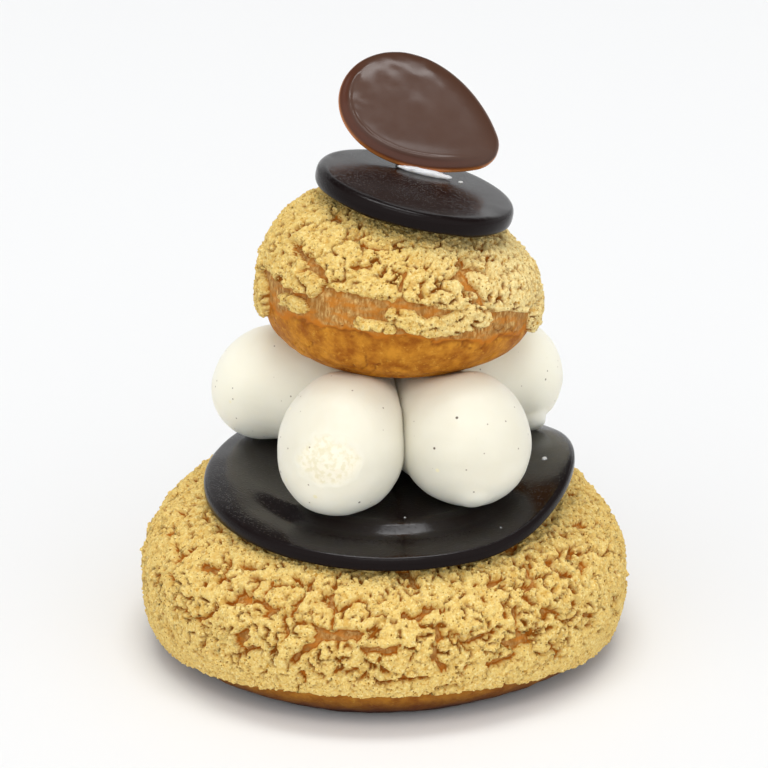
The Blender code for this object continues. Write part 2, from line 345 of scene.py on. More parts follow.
def object_from(name, bm, finish, node):
    """The finished piece: smooth, riding on the pastry, and standing for a measured node if it has one."""
    mesh = bpy.data.meshes.new(name)
    bm.to_mesh(mesh)
    bm.free()
    mesh.shade_smooth()
    mesh.materials.append(finish)
    obj = bpy.data.objects.new(name, mesh)
    scene.collection.objects.link(obj)
    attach(obj, "root")
    if node:
        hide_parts(node)
    print(name, len(mesh.polygons), "faces")
    return obj


def turned(profile, segments, fine):
    """A closed bmesh turned from a profile in mm: a grid, rolled up and welded. The rows from fine[0] up to
    fine[1] are marked."""
    bm = bmesh.new()
    rows = len(profile) - 1
    bmesh.ops.create_grid(bm, x_segments=segments, y_segments=rows, size=1.0)
    mark = bm.verts.layers.float.new("fine")
    for vert in bm.verts:
        azimuth = math.pi * (vert.co.x + 1)
        row = round(0.5 * (vert.co.y + 1) * rows)
        radius, height = profile[row]
        vert.co = radius * math.cos(azimuth), radius * math.sin(azimuth), height
        vert[mark] = 1.0 if fine[0] <= row < fine[1] else 0.0
    bmesh.ops.remove_doubles(bm, verts=bm.verts, dist=WELD)
    bmesh.ops.recalc_face_normals(bm, faces=bm.faces)
    if bm.calc_volume(signed=True) < 0:
        bmesh.ops.reverse_faces(bm, faces=bm.faces)
    return bm


def uneven(bun, bm):
    """Pushes a turned bun out of round. Gives its points as they were, and which of them are marked."""
    mark = bm.verts.layers.float["fine"]
    flat = np.array([vert.co for vert in bm.verts])
    fine = np.array([vert[mark] for vert in bm.verts]) > 0.5
    for vert in bm.verts:
        vert.co = by_hand(bun, vert.co)
    return flat, fine


def reshape(bm, move, layers=()):
    """Moves all points at once. move takes points and normals. It gives new points, then a value for each
    point and layer."""
    bm.normal_update()
    points = np.array([vert.co for vert in bm.verts])
    normals = np.array([vert.normal for vert in bm.verts])
    found, *values = move(points, normals)
    made = [bm.verts.layers.float.new(layer) for layer in layers]
    for i, vert in enumerate(bm.verts):
        vert.co = found[i]
        for layer, value in zip(made, values):
            vert[layer] = value[i]


# %% [markdown]
# ## The craquelin
# A craquelin crust breaks into plates where the bun swells most, and stays whole near the foot. Each plate is
# a heap of lumps, each lump of grains. It could be piled up from loose plates, but a real crust is one sheet
# that gapes here and there. So it is one finely divided shell, raised and sunk by cells of three sizes.

# %% Soft noise, for all points of a piece at once
# These large odd numbers only stir the bits of a whole number well.
AXIS_STIRS, SEED_STIR = (73856093, 19349663, 83492791), 2654435761
STIRS, LAST_SHIFT = ((15, 0x2C1B3C6D), (12, 0x297A2D39)), 15
NOISE_SWING = 1.5


def scramble(spots, seed):
    """Three fixed random numbers from 0 to 1 for each whole-number point of space."""
    mixed = np.zeros(len(spots), np.uint32)
    for i, stir in enumerate(AXIS_STIRS):
        mixed ^= spots[:, i].astype(np.int64).astype(np.uint32) * np.uint32(stir)
    found = []
    for turn in range(3):
        bits = mixed ^ np.uint32((seed * 3 + turn + 1) * SEED_STIR % 2**32)
        for shift, stir in STIRS:
            bits = (bits ^ (bits >> np.uint32(shift))) * np.uint32(stir)
        found.append((bits ^ (bits >> np.uint32(LAST_SHIFT))) / 2.0**32)
    return np.stack(found, 1)


def soft_noise(points, size, seed):
    """Smooth noise from about -1 to 1, with lumps of a size."""
    spots = np.floor(points / size)
    inside = points / size - spots
    share = inside**3 * (inside * (inside * 6 - 15) + 10)  # a blend with no kink at either end
    total = np.zeros(len(points))
    for corner in itertools.product((0, 1), repeat=3):
        slope = 2 * scramble(spots + corner, seed) - 1
        weight = np.prod(np.where(np.array(corner), share, 1 - share), axis=1)
        total += weight * (slope * (inside - corner)).sum(1)
    return NOISE_SWING * total


def warp(points, size, seed):
    """Three soft noises, which push points about."""
    return np.stack([soft_noise(points, size, seed + i) for i in range(3)], 1)


# %% Cells, for all points of a piece at once
FAR = 9.0
NO_LENGTH = 1e-6
CELL_DRAW, BORDER_DRAW = 50, 51


def cells(points, size, seed):
    """Splits space into cells of a size. Gives each point its distance from its cell's middle and from the
    nearest border, and a random number for the cell and for that border."""
    points = points / size
    spots = np.floor(points)
    steps = list(itertools.product((-1, 0, 1), repeat=3))
    near = np.full(len(points), FAR)
    middle, home = np.zeros_like(points), np.zeros_like(points)
    for step in steps:
        there = spots + step
        other = there + scramble(there, seed)
        off = np.linalg.norm(points - other, axis=1)
        closer = off < near
        near[closer], middle[closer], home[closer] = off[closer], other[closer], there[closer]
    border = np.full(len(points), FAR)
    pair = np.zeros_like(points)
    for step in steps:
        there = spots + step
        other = there + scramble(there, seed)
        across = other - middle
        length = np.linalg.norm(across, axis=1)
        off = ((0.5 * (other + middle) - points) * across).sum(1) / np.maximum(length, NO_LENGTH)
        closer = (off < border) & (length > NO_LENGTH)
        border[closer], pair[closer] = off[closer], (there + home)[closer]
    draws = scramble(home, seed + CELL_DRAW)[:, 0], scramble(pair, seed + BORDER_DRAW)[:, 0]
    return near * size, border * size, *draws


def smooth_step(value, low, high):
    """0 below low, 1 above high and a smooth rise between."""
    share = np.clip((value - low) / (high - low), 0.0, 1.0)
    return share * share * (3 - 2 * share)


# %% Every noise by its name: how far it swings, how wide its lumps are in mm, and a seed of its own
NOISES = {
    "ragged": (0.24, 0.9, 1), "ragged_wide": (0.36, 1.9, 5), "bent": (1.2, 5.0, 9),
    "crack_width": (1.4, 2.4, 25), "tear_width": (0.5, 1.2, 29), "hem": (1.0, 0.38, 33),
    "lumps": (1.0, 1.25, 37), "small_lumps": (0.6, 0.6, 39), "swells": (0.2, 4.0, 41),
    "creased_places": (1.0, 1.7, 45),
}


def noise(points, name, kind=soft_noise):
    """A named noise at the points: one number each, or a push in space where kind is warp."""
    swing, size, seed = NOISES[name]
    return swing * kind(points, size, seed)


print(len(NOISES), "noises shape the crusts")

# %% How strong each form of the crust is
# A fade goes from 0 to 1 between two distances in mm or two values of a noise.
PLATE_SEED, LUMP_SEED, GRAIN_SEED = 13, 17, 21
LUMP_RAGGED, GRAIN_RAGGED = 0.5, 0.3
CELL_REACH = 0.6
SCALLOP = 0.30
CRACK_LEAST, CRACK_USUAL = 0.05, 0.6
BULK_LEAST, BULK_MORE = 0.3, 0.7
EDGE_FADE, RIM_FADE = (-0.16, 0.12), (0, 0.6)
FLAKE_FADE, HOLLOW_FADE = (-0.1, 0.35), (0.1, 0.8)
DEEP_FADE, CREASED_FADE = (0.3, 0.75), (-0.25, 0.25)
CREASE_NEAR, CREASE_FAR, CREASE_MORE = 0.04, 0.10, 0.18
PIT_FADE, PIT_SHARE = (0.08, 0.22), 0.84
BUMP_HEIGHT, FLAKE_LIFT, RIM_DROP, CREASE_DEPTH, PIT_DEPTH = 0.20, 0.35, 0.16, 0.75, 0.35
PIT_SHADE = 0.8
print("cracks open at", CRACK_LEAST, "mm or more")


# %% The height of the crust at each point
def from_line(across, up, line):
    """How far points lie from the middle line of a tear or a patch."""
    (x0, z0), (x1, z1) = line[0], line[1]
    x, z = x1 - x0, z1 - z0
    share = np.clip(((across - x0) * x + (up - z0) * z) / (x * x + z * z), 0, 1)
    return np.hypot(across - x0 - share * x, up - z0 - share * z)


def craquelin_height(bun, points, flat):
    """Height over the smooth crust in mm, how far the crust is open, how creased and how hollow it is."""
    style = bun["style"]
    ragged = noise(points, "ragged", warp) + noise(points, "ragged_wide", warp)
    bent = points + ragged + noise(points, "bent", warp)
    azimuth = np.arctan2(flat[:, 0], -flat[:, 1])
    across, up = bun["radius"] * azimuth + ragged[:, 0], flat[:, 2] + ragged[:, 2]
    _, border, plate, joint = cells(bent, style["plate"], PLATE_SEED)
    off_lump, seam, _, split = cells(points + LUMP_RAGGED * ragged, style["lump"], LUMP_SEED)
    off_grain, _, grain, _ = cells(points + GRAIN_RAGGED * ragged, style["grain"], GRAIN_SEED)
    from_lump, from_grain = off_lump / (CELL_REACH * style["lump"]), off_grain / (CELL_REACH * style["grain"])
    # Cracks open between plates, but only where the bun swells.
    whole = smooth_step(flat[:, 2], *style["whole"])
    wide = (joint - style["closed"]) / (1 - style["closed"])
    width = style["crack"] * wide * (CRACK_USUAL + noise(points, "crack_width")) * whole
    scallop = SCALLOP * (1 - from_lump)
    edge = np.where(width > CRACK_LEAST, border + scallop - width, FAR)
    # The tears, the hem and the loose patches below it change how far the nearest edge is.
    jagged = 1 + noise(points, "tear_width")
    for line in style["tears"]:
        edge = np.minimum(edge, from_line(across, up, line) - line[2] * jagged + scallop)
    ring = np.stack([np.cos(azimuth), np.sin(azimuth), 0 * azimuth], 1)
    hem = style["hem"] + style["hem_wave"] * noise(ring, "hem") - bun["swing"] * np.cos(2 * azimuth + np.pi)
    edge = np.minimum(edge, up - hem + scallop)
    flake = np.zeros(len(points))
    for patch in style["patches"]:
        inside = patch[2] - from_line(across, up, patch) + scallop
        edge = np.maximum(edge, inside)
        flake = np.maximum(flake, smooth_step(inside, *FLAKE_FADE))
    gap = 1 - smooth_step(edge, *EDGE_FADE)
    # Plates stand at different heights, and carry lumps, bumps, creases, grains and pin holes.
    bulk = BULK_LEAST + BULK_MORE * whole
    height = style["lift"] * (plate - 0.5) * whole
    height += style["dome"] * bulk * (1 - from_lump**2)
    bumps = noise(points, "lumps") + noise(points, "small_lumps")
    hollow = smooth_step(-bumps, *HOLLOW_FADE) * bulk
    height += BUMP_HEIGHT * bulk * bumps + noise(points, "swells")
    height += FLAKE_LIFT * flake - RIM_DROP * (1 - smooth_step(edge, *RIM_FADE)) ** 2
    deep = smooth_step(split, *DEEP_FADE) * bulk * smooth_step(noise(points, "creased_places"), *CREASED_FADE)
    crease = (1 - smooth_step(seam, CREASE_NEAR, CREASE_FAR + CREASE_MORE * deep)) * deep
    height -= CREASE_DEPTH * crease
    height += style["grit"] * (1 - from_grain**2)
    pit = (1 - smooth_step(off_grain, *PIT_FADE)) * (grain > PIT_SHARE)
    height -= PIT_DEPTH * pit
    height = height * (1 - gap) - style["depth"] * gap
    # The crease value, with the pits folded in, only darkens the crumb's colour as painted shade.
    return height, gap, np.maximum(crease, PIT_SHADE * pit), hollow


# %% Making a crust
HIDDEN_STEP, POLE = 2.0, 0.4
CLEARANCE = 0.15
WALL_LEAST, WALL_ROUNDS = 0.1, 2


def crust(name, bun, segments, step, cover, place, finish, node):
    """The craquelin over a bun: turned as a thin shell, shaped by hand, then broken up. Only the part outside
    the radius cover, in mm, has fine rows a step apart, as a disc hides the rest."""
    style = bun["style"]
    inner = outline(bun, style["depth"] + CLEARANCE, style["reach"], HIDDEN_STEP, POLE)
    outer = outline(bun, 0.0, style["reach"], step, cover)
    top = outline(bun, 0.0, style["reach"], HIDDEN_STEP, POLE)
    top = [point for point in top if point[0] < outer[-1][0] - 0.5 * HIDDEN_STEP]
    profile = [(0.0, inner[-1][1])] + inner[::-1] + outer + top + [(0.0, bun["height"])]
    bm = turned(profile, segments, (1 + len(inner), 1 + len(inner) + len(outer)))
    flat, fine = uneven(bun, bm)

    def broken(points, normals):
        found = craquelin_height(bun, points[fine], flat[fine])
        points[fine] += normals[fine] * found[0][:, None]
        values = np.zeros((3, len(points)))
        values[:, fine] = found[1:]
        return (points, *values)

    reshape(bm, broken, ("gap", "crease", "hollow"))
    opened = bm.verts.layers.float["gap"]
    walls = [vert for vert in bm.verts if vert[opened] > WALL_LEAST]
    every_way = {"use_axis_x": True, "use_axis_y": True, "use_axis_z": True}
    for _ in range(WALL_ROUNDS):
        bmesh.ops.smooth_vert(bm, verts=walls, factor=0.5, **every_way)
    bmesh.ops.transform(bm, matrix=place, verts=bm.verts)
    return object_from(name, bm, finish, node)


# %% Crumbs that sit on a crust
CRUMB_SUNK = 0.35
MOSTLY_SMALL = 2.5
CLOSED_MOST = 0.02
CRUMB_WIDTHS, CRUMB_DEPTHS = (0.7, 1.0), (0.6, 1.0)
KNOCKED, KNOCK_SIZE = 0.06, 0.35


def crumbs(name, ground, count, sizes, seed, finish):
    """Small uneven crumbs on the closed parts of a crust, with a least and a greatest radius in mm."""
    chosen = random.Random(seed)
    data = ground.data
    opened = np.zeros(len(data.vertices), np.float32)
    data.attributes["gap"].data.foreach_get("value", opened)
    spots = np.flatnonzero(opened < CLOSED_MOST)
    middle = 0.5 * (Vector(ground.bound_box[0]) + Vector(ground.bound_box[6]))
    grain = bmesh.new()
    bmesh.ops.create_icosphere(grain, subdivisions=1, radius=1.0)
    stamp = bpy.data.meshes.new("grain")
    grain.to_mesh(stamp)
    grain.free()
    bm = bmesh.new()
    for _ in range(count):
        vert = data.vertices[int(spots[chosen.randrange(len(spots))])]
        if (vert.co - middle).dot(vert.normal) < 0:
            continue
        radius = MM * (sizes[0] + (sizes[1] - sizes[0]) * chosen.random() ** MOSTLY_SMALL)
        place = Matrix.Translation(vert.co - CRUMB_SUNK * radius * vert.normal)
        turn = chosen.uniform(0, math.tau)
        place @= Matrix.Rotation(turn, 4, Vector((chosen.random(), chosen.random(), 1)))
        width, depth = radius * chosen.uniform(*CRUMB_WIDTHS), radius * chosen.uniform(*CRUMB_DEPTHS)
        place @= Matrix.Diagonal((radius, width, depth, 1))
        stamp.transform(place)
        bm.from_mesh(stamp)
        stamp.transform(place.inverted())

    def knocked(points, normals):
        return (points + KNOCKED * MM * warp(points / MM, KNOCK_SIZE, seed),)

    reshape(bm, knocked)
    return object_from(name, bm, finish, None)


# %% [markdown]
# ## Where each crust is torn
# The fine cracks are left to chance. The large tears, and the loose patches below the small crust's hem, make
# this pastry look like itself, so they are listed one by one, as lines with a width.

# %% Lines on a crust
def laid(bun, *lines):
    """Lines given by degrees round from the front and mm up, at both ends, and half a width in mm. They come
    back with their ends in mm round and mm up."""
    side = bun["radius"]
    return [
        ((side * math.radians(azimuth), height), (side * math.radians(to_azimuth), to_height), half_width)
        for azimuth, height, to_azimuth, to_height, half_width in lines
    ]


# %% The large crust
LARGE["style"] = {
    "reach": 4.5, "depth": 1.6, "hem": 4.3, "hem_wave": 0.4, "whole": (6.0, 12.0),
    "plate": 3.9, "lump": 1.5, "grain": 0.58, "lift": 0.45, "dome": 0.08, "grit": 0.12,
    "crack": 0.75, "closed": 0.35, "patches": [],
    "tears": laid(
        LARGE,
        (-14, 16.8, -6, 17.2, 1.0), (-21, 12, -15, 16.5, 0.65), (-5, 15, -1, 14.8, 0.45),
        (-34, 12, -30, 13, 0.6), (-55, 20.5, -49, 21, 0.5), (-64, 19, -62, 21, 0.5), (-36, 19, -35, 21, 0.5),
        (-23, 19, -22, 20.5, 0.45), (-61, 14, -51, 14, 0.3), (-51, 14, -44, 13, 0.35),
        (-44, 13, -40, 9, 0.2), (-8, 3.5, -8, 6.5, 0.2), (-20, 6, -20, 7.5, 0.35), (-1, 9.4, 11, 9.6, 0.45),
        (12, 13.5, 14, 17.5, 0.55), (12, 13.5, 14, 11, 0.5), (15, 7.4, 19, 6.8, 0.4), (12, 6, 13, 7.2, 0.4),
        (21, 14.8, 27, 15.8, 0.45), (26, 10.2, 33, 10.8, 0.55), (33, 12, 34, 14.5, 0.5),
        (31, 17.8, 32, 19, 0.45), (30, 3.5, 31, 6.5, 0.2), (42, 7.6, 43, 9, 0.4), (45, 15, 49, 13, 0.4),
        (43, 20, 44, 22, 0.5), (58, 19, 62, 19.5, 0.5),
    ),
}
print("large crust:", len(LARGE["style"]["tears"]), "tears")

# %% The small crust
SMALL["style"] = {
    "reach": 4.2, "depth": 1.4, "hem": 12.6, "hem_wave": 1.6, "whole": (0.0, 1.0),
    "plate": 4.8, "lump": 1.6, "grain": 0.52, "lift": 0.50, "dome": 0.08, "grit": 0.11,
    "crack": 0.6, "closed": 0.5,
    "tears": laid(
        SMALL,
        (28, 20, 41, 12, 0.45), (26, 18, 29, 17.6, 0.7), (-2, 13.4, 14, 13.4, 1.0), (-2, 16, -1, 18, 0.35),
        (-58, 17, -35, 15, 0.6), (-34, 20, -25, 21, 0.3), (-26, 17.2, -18, 18.0, 0.3),
    ),
    "patches": laid(
        SMALL,
        (-2, 12.2, 12, 10.6, 1.4), (12, 10.6, 36, 12.6, 1.6), (-18, 10.3, -4, 10.0, 0.8),
        (-55, 10.0, -44, 10.0, 0.9), (-62, 13.0, -40, 13.4, 1.3), (-93, 11.0, -84, 12.0, 1.6),
        (-100, 9.0, -76, 8.4, 2.2), (-122, 11.4, -104, 10.2, 1.7), (74, 9.6, 100, 9.2, 2.0),
        (104, 10.4, 120, 11.4, 1.7),
    ),
}
print("small crust:", len(SMALL["style"]["tears"]), "tears and", len(SMALL["style"]["patches"]), "patches")

# %% [markdown]
# ## The craquelin's finish
# The crumb is pale straw, paler still on the right of the small bun, which baked least. The valleys between
# the grains, the pin holes, the hollows and the creases are darkened with painted shade. Where the crust
# gapes, the skin shows.
# The shape has stored on its points how far each gapes, sinks or creases, so that colour and form agree.

# %% The colours and patterns of the crumb
STRAW, DARK_STRAW = (0.90, 0.69, 0.25), (0.79, 0.55, 0.16)
PALE_STRAW, SUGAR = (0.97, 0.83, 0.44), (0.95, 0.82, 0.42)
TOASTED_AND_VALLEY_SHADE, HOLLOW_SHADE, PIN_HOLE_SHADE = (0.58, 0.31, 0.05), (0.62, 0.34, 0.06), (0.38, 0.18, 0.025)
CREASE_SHADE, BARE_SKIN = (0.32, 0.10, 0.008), (0.46, 0.155, 0.015)

biscuit = Finish("craquelin_crumb", 0.82)
straw = biscuit.mix(biscuit.grain(1.1 * MM, 3), STRAW, DARK_STRAW)
to_right = biscuit.ramp(biscuit.along("X"), 3 * MM, 18 * MM)
paler = biscuit.times(to_right, biscuit.ramp(biscuit.along("Z"), 42 * MM, 46 * MM, 0.0, 0.6))
straw = biscuit.mix(paler, straw, PALE_STRAW)
sugared = biscuit.mix(biscuit.ramp(biscuit.grain(0.35 * MM, 2), 0.5, 0.8), straw, SUGAR)
toasted = biscuit.mix(biscuit.ramp(biscuit.grain(0.5 * MM, 3), 0.43, 0.30), sugared, TOASTED_AND_VALLEY_SHADE)
holes = biscuit.dots(0.62 * MM, 0.13 * MM, 0.6)
# Painted shade: the pin holes are coloured dark as well as sunk by the bump below.
pin_hole_shaded = biscuit.mix(holes, toasted, PIN_HOLE_SHADE)
pebbles = biscuit.pebbles(0.5 * MM)
# Painted shade: the valleys between the grains are tinted towards the toasted brown.
valley_shaded = biscuit.mix(biscuit.ramp(pebbles, 0.4, 0.0, 0.0, 0.3), pin_hole_shaded, TOASTED_AND_VALLEY_SHADE)
# Painted shade: the hollows between the lumps are darkened towards brown.
sunk = biscuit.mix(biscuit.ramp(biscuit.seen("hollow"), 0.0, 1.0, 0.0, 0.65), valley_shaded, HOLLOW_SHADE)
# Painted shade: the creases and the pits are darkened to a deep brown.
crease_shaded = biscuit.mix(biscuit.ramp(biscuit.seen("crease"), 0.0, 0.8), sunk, CREASE_SHADE)
biscuit.colour(biscuit.mix(biscuit.ramp(biscuit.seen("gap"), 0.45, 0.85), crease_shaded, BARE_SKIN))
biscuit.shader.inputs["Specular IOR Level"].default_value = 0.08
biscuit.bump(biscuit.grain(0.32 * MM, 4, 0.7), 0.16 * MM)
biscuit.bump(pebbles, 0.09 * MM)
biscuit.bump(biscuit.ramp(holes, 0, 1, 1, 0), 0.12 * MM)
print("craquelin finish:", len(biscuit.tree.nodes), "nodes")

# %% Both crusts
crumb = biscuit.material
steps = {"segments": int(760 / QUICK), "step": 0.27 * QUICK, "cover": 24.0}
large_crust = crust("large_crust", LARGE, place=LARGE_PLACE, finish=crumb, node="large_craquelin", **steps)
steps = {"segments": int(640 / QUICK), "step": 0.19 * QUICK, "cover": 9.0}
small_crust = crust("small_crust", SMALL, place=SMALL_PLACE, finish=crumb, node="small_craquelin", **steps)
crumbs("large_crumbs", large_crust, count=8000, sizes=(0.18, 0.55), seed=3, finish=crumb)
crumbs("small_crumbs", small_crust, count=3500, sizes=(0.15, 0.50), seed=5, finish=crumb)

# %% [markdown]
# ## The choux under the crust
# Choux bakes to a thin brown skin. It is smooth at the foot, and stretched into fine upright fibres where the
# bun has pulled the crust apart. The fibres could be laid one by one, but they are part of one skin. So the
# bun is a turned shape again, and noise drawn out upward gives it the fibres.

# %% Noises and fades of the skin
NOISES.update({
    "fibre_wander": (0.3, 0.8, 60), "fibres": (1.0, 0.5, 61), "crease_wander": (0.5, 2.0, 63),
    "creases": (1.0, 5.0, 65), "crease_places": (1.0, 4.0, 66), "dents": (0.18, 3.0, 67),
    "band_edge": (1.0, 3.5, 69), "band_edge_fine": (0.6, 1.2, 70), "fold_places": (1.0, 5.0, 72),
})
FOOT_LOW, FOOT_POLE, FOOT_RINGS, FOOT_ROUND = 0.01, 0.3, 8, 0.5
FIBRE_STRETCH = np.array([1, 1, 0.35])
CRUST_GAP = 0.28
CREASE_WIDTH, FOLD_WIDTH = 0.03, 0.28
FIBRE_HEIGHT, SKIN_CREASE_DEPTH, FOLD_DEPTH = 0.07, 0.22, 0.25
COVER_FADE, FIBRE_FADE, FOOT_FADE, BAND_FADE = 1.5, 1.5, (-0.3, 0.5), (-0.3, 1.3)
CREASE_PLACES, FOLD_PLACES, FOLD_SHADE = (0.0, 0.25), (-0.35, 0.1), 0.8


# %% The choux
def choux(name, bun, segments, step, place, finish, node):
    """The bun itself: close under the crust's face where it is bare, deeper where the crust covers it."""
    style = bun["style"]
    side = outline(bun, 0.0, FOOT_LOW, step, FOOT_POLE)
    foot = bun["foot"] - style["bare"] - FOOT_ROUND
    under = [(foot * i / FOOT_RINGS, 0.0) for i in range(FOOT_RINGS + 1)]
    profile = under + side + [(0.0, bun["height"])]
    bm = turned(profile, segments, (len(under), len(profile)))
    flat, upper = uneven(bun, bm)

    def sunk(points, normals):
        up = flat[:, 2]
        covered = smooth_step(up - style["hem"] - style["bulge"], 0.0, COVER_FADE)
        stretched = (points + noise(points, "fibre_wander", warp)) * FIBRE_STRETCH
        fibrous = smooth_step(up, style["smooth"], style["smooth"] + FIBRE_FADE)
        fibres = noise(stretched, "fibres") * fibrous
        wandering = points + noise(points, "crease_wander", warp)
        creases = 1 - smooth_step(np.abs(noise(wandering, "creases")), 0.0, CREASE_WIDTH)
        creases = creases * smooth_step(noise(points, "crease_places"), *CREASE_PLACES)
        depth = style["bare"] + (style["depth"] - CRUST_GAP - style["bare"]) * covered
        over = up + noise(points, "band_edge") + noise(points, "band_edge_fine") - style["smooth"]
        fold = np.exp(-((over / FOLD_WIDTH) ** 2)) * smooth_step(noise(points, "fold_places"), *FOLD_PLACES)
        depth = depth + noise(points, "dents") + FIBRE_HEIGHT * fibres
        depth = depth + (SKIN_CREASE_DEPTH * creases + FOLD_DEPTH * fold) * (1 - covered)
        depth = depth * upper * smooth_step(up, *FOOT_FADE)
        points = points - normals * depth[:, None]
        points[:, 2] = np.maximum(points[:, 2], 0.0)
        # Painted shade: how much the creases and the fold are darkened in the colour.
        crease_shade_mask = np.maximum(creases, FOLD_SHADE * fold)
        return points, fibres, crease_shade_mask, smooth_step(over, *BAND_FADE)

    reshape(bm, sunk, ("fibres", "crease", "band"))
    bmesh.ops.transform(bm, matrix=place, verts=bm.verts)
    return object_from(name, bm, finish, node)


# %% The skin's finish: mottled at the foot and darkened at its bottom edge as painted shade, with tan fibres in the band above
DEEP_BROWN, GOLD_BROWN, GOLD_SPOT = (0.30, 0.085, 0.004), (0.60, 0.25, 0.022), (0.70, 0.36, 0.05)
FOOT_SHADE, SKIN_CREASE_SHADE = (0.05, 0.010, 0.001), (0.17, 0.04, 0.004)
THREAD_DARK, THREAD_PALE, BETWEEN = (0.30, 0.11, 0.016), (0.74, 0.49, 0.18), (0.34, 0.15, 0.03)
STREAK, LIP = (0.54, 0.19, 0.018), (0.52, 0.17, 0.012)

skin = Finish("baked_skin", 0.6)
skin.shader.inputs["Specular IOR Level"].default_value = 0.12
mottled = skin.mix(skin.ramp(skin.grain(2.5 * MM, 5, 0.65), 0.35, 0.65), DEEP_BROWN, GOLD_BROWN)
mottled = skin.mix(skin.ramp(skin.grain(0.8 * MM, 4, 0.6), 0.58, 0.7, 0.0, 0.6), mottled, GOLD_SPOT)
# Painted shade: the skin darkens towards the table, as contact shadow under the bun.
mottled = skin.mix(skin.ramp(skin.along("Z"), 1.5 * MM, 7.0 * MM), FOOT_SHADE, mottled)
threads = skin.grain(0.4 * MM, 4, 0.6, squeeze=(1, 1, 0.4))
thread = skin.mix(skin.ramp(threads, 0.38, 0.62), THREAD_DARK, THREAD_PALE)
tan = skin.mix(skin.ramp(skin.seen("fibres"), -0.5, 0.6), BETWEEN, thread)
streaks = skin.grain(2.6 * MM, 4, squeeze=(1, 1, 2.5))
warm = skin.mix(skin.ramp(streaks, 0.46, 0.66, 0.0, 0.85), tan, STREAK)
lip = skin.mix(skin.ramp(skin.seen("band"), 0.55, 1.0), LIP, warm)
banded = skin.mix(skin.ramp(skin.seen("band"), 0.0, 0.3), mottled, lip)
# Painted shade: the skin's creases and fold are darkened.
skin.colour(skin.mix(skin.ramp(skin.seen("crease"), 0, 1, 0, 0.7), banded, SKIN_CREASE_SHADE))
skin.bump(skin.grain(0.5 * MM, 5, 0.6), 0.10 * MM)
print("skin finish:", len(skin.tree.nodes), "nodes")

# %% Both buns
LARGE["style"].update({"bare": 0.75, "bulge": 0.2, "smooth": 9.0})
SMALL["style"].update({"bare": 0.90, "bulge": 3.0, "smooth": 7.6})
choux("large_bun", LARGE, int(400 / QUICK), 0.5 * QUICK, LARGE_PLACE, skin.material, "large_choux")
choux("small_bun", SMALL, int(440 / QUICK), 0.3 * QUICK, SMALL_PLACE, skin.material, "small_choux")

# %% [markdown]
# ## The cream
# Each drop of cream was piped from outside inwards, so it is a bulb with a tail under the small bun. A drop
# could be turned like a bun, but the five press on each other. So the measured drops are copied, rounded by
# subdivision and then given the small marks of the piping.

# %% A finer copy of a measured piece
MERGE = 0.002
FLAT_ENOUGH = math.radians(50)


def refined(node, levels):
    """A bmesh of a measured node, in mm, merged, with square faces where it can have them, and rounded."""
    bm = bmesh.new()
    bm.from_mesh(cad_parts[node].data)
    bmesh.ops.transform(bm, matrix=Matrix.Scale(1 / MM, 4), verts=bm.verts)
    bmesh.ops.remove_doubles(bm, verts=bm.verts, dist=MERGE)
    limits = {"angle_face_threshold": FLAT_ENOUGH, "angle_shape_threshold": FLAT_ENOUGH}
    bmesh.ops.join_triangles(bm, faces=bm.faces, **limits)
    mesh = bpy.data.meshes.new(node + "_draft")
    bm.to_mesh(mesh)
    bm.free()
    draft = bpy.data.objects.new(node + "_draft", mesh)
    scene.collection.objects.link(draft)
    rounding = draft.modifiers.new("rounding", "SUBSURF")
    rounding.levels = rounding.render_levels = levels
    bm = bmesh.new()
    bm.from_mesh(draft.evaluated_get(bpy.context.evaluated_depsgraph_get()).to_mesh())
    bpy.data.objects.remove(draft)
    bmesh.ops.recalc_face_normals(bm, faces=bm.faces)
    return bm


def to_metres(bm):
    """Scales a bmesh in mm to metres."""
    bmesh.ops.transform(bm, matrix=Matrix.Scale(MM, 4), verts=bm.verts)


# %% A drop of cream, with sizes in mm
SAG, SAG_SIZE = 0.14, 5.0
RIPPLE, RIPPLE_SIZE = 0.03, 1.3
SCAR_DEPTH, SCAR_GRAIN, SCAR_RIM, SCAR_REACH = 0.12, 0.07, 0.09, 9.0
SCAR_FADE, SCAR_RIM_WIDTH = (0.75, 1.0), 0.12
NOISES.update({"scar_edge": (0.16, 1.6, 71), "scar_grain": (1.0, 0.7, 73)})
TIP_FROM = 0.955


def drop(name, node, seed, swell, torn_at=None, tip=None):
    """A drop, swollen a little. torn_at is a scar's place and half size, and tip a direction and a pull."""
    bm = refined(node, 3)

    def piped(points, normals):
        low, high = points.min(0), points.max(0)
        grow = swell + SAG * soft_noise(points, SAG_SIZE, seed)
        grow = grow + RIPPLE * soft_noise(points, RIPPLE_SIZE, seed + 3)
        torn = np.zeros(len(points))
        if torn_at:
            x, z, wide, tall = torn_at
            centre = np.array([0.5 * (low[0] + high[0]) + x, low[1], 0.5 * (low[2] + high[2]) + z])
            off = (points - centre) / np.array([wide, SCAR_REACH, tall])
            far = np.linalg.norm(off, axis=1) + noise(points, "scar_edge")
            torn = 1 - smooth_step(far, *SCAR_FADE)
            grow = grow - SCAR_DEPTH * torn + SCAR_GRAIN * torn * noise(points, "scar_grain")
            grow = grow + SCAR_RIM * np.exp(-(((far - 1.0) / SCAR_RIM_WIDTH) ** 2))
        points = points + normals * grow[:, None]
        if tip:
            toward = np.array(Vector(tip[:3]).normalized())
            away = points - 0.5 * (low + high)
            near = smooth_step(away @ toward / np.linalg.norm(away, axis=1), TIP_FROM, 1.0)
            points = points + tip[3] * near[:, None] ** 2 * toward
        return points, torn

    reshape(bm, piped, ("torn",))
    to_metres(bm)
    return object_from(name, bm, cream.material, node)


